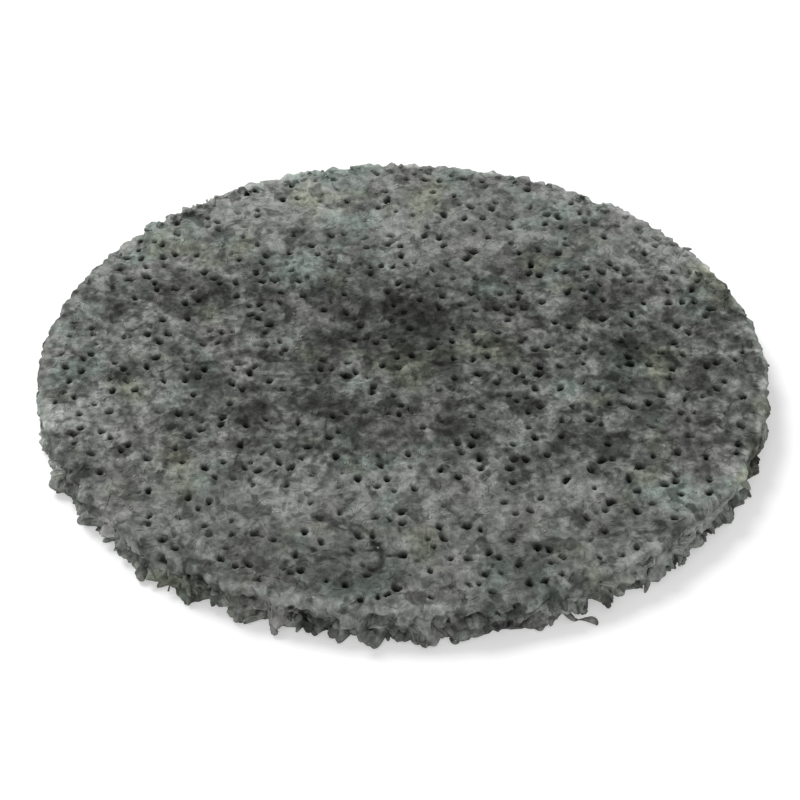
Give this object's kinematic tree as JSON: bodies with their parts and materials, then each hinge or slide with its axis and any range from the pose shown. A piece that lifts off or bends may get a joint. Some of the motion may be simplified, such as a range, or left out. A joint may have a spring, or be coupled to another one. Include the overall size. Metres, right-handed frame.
{
  "type": "surface conditioning disc",
  "caption": "Round pad of grey non-woven abrasive web, with a pitted working face, a ragged cut edge and a flat back that a back-up pad holds.",
  "frame": {"origin": "middle of the flat back face", "axes": "+Z along the disc's axis, out of the pitted working face; +Y away from the picture's camera"},
  "size_m": [0.1164, 0.1166, 0.0067],
  "materials": {
    "abrasive_web": "matt grey nylon fibre bonded with resin and fine mineral grit"
  },
  "bodies": {
    "root": {"conditioning_disc": "abrasive_web"}
  },
  "joints": []
}
